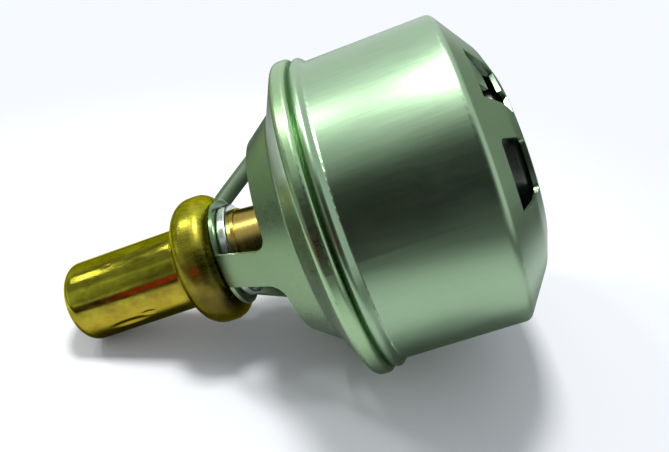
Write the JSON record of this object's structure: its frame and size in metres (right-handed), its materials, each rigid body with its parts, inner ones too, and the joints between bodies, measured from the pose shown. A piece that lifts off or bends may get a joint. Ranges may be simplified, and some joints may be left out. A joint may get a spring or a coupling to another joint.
{
  "type": "engine thermostat",
  "caption": "Wax-element engine thermostat: brass wax capsule on a three-legged cage, curled flange, drawn barrel with a sprung valve inside and a windowed outlet end.",
  "frame": {"origin": "centre of the flat hub of the outlet end, on the plane it stands on", "axes": "+Z along the axis towards the wax capsule, one cage leg on +X"},
  "size_m": [0.054, 0.054, 0.0795],
  "materials": {
    "shell_steel": "satin drawn stainless steel",
    "cage_steel": "satin pressed stainless steel",
    "inner_steel": "plain stainless steel",
    "bright_steel": "bright ground steel",
    "spring_steel": "drawn spring wire",
    "capsule_brass": "drawn brass, lightly tarnished",
    "guide_brass": "turned brass",
    "black_rubber": "matt moulded rubber",
    "white_plastic": "plain",
    "wax": "waxy solid"
  },
  "bodies": {
    "housing": {"outlet_shell": "shell_steel", "inlet_cage": "cage_steel", "seat_ring": "inner_steel", "capsule_cup": "capsule_brass", "wax_charge": "wax", "diaphragm": "black_rubber", "piston_guide": "guide_brass", "guide_wiper": "black_rubber", "retaining_ring": "bright_steel", "guide_sleeve": "guide_brass", "spring_cup": "inner_steel", "return_spring": "spring_steel"},
    "valve": {"piston": "bright_steel", "thrust_button": "inner_steel", "valve_disc": "inner_steel", "valve_seal": "black_rubber", "seal_retainer": "inner_steel", "valve_stem": "inner_steel", "rubber_plug": "black_rubber", "backup_washer": "white_plastic"}
  },
  "joints": [
    {"name": "valve_lift", "type": "slide", "parent": "housing", "child": "valve", "axis": [0, 0, -1], "range_m": [0, 0.008], "stiffness_N_per_m": 3000, "springref_m": -0.001, "deforming": ["return_spring"]}
  ]
}
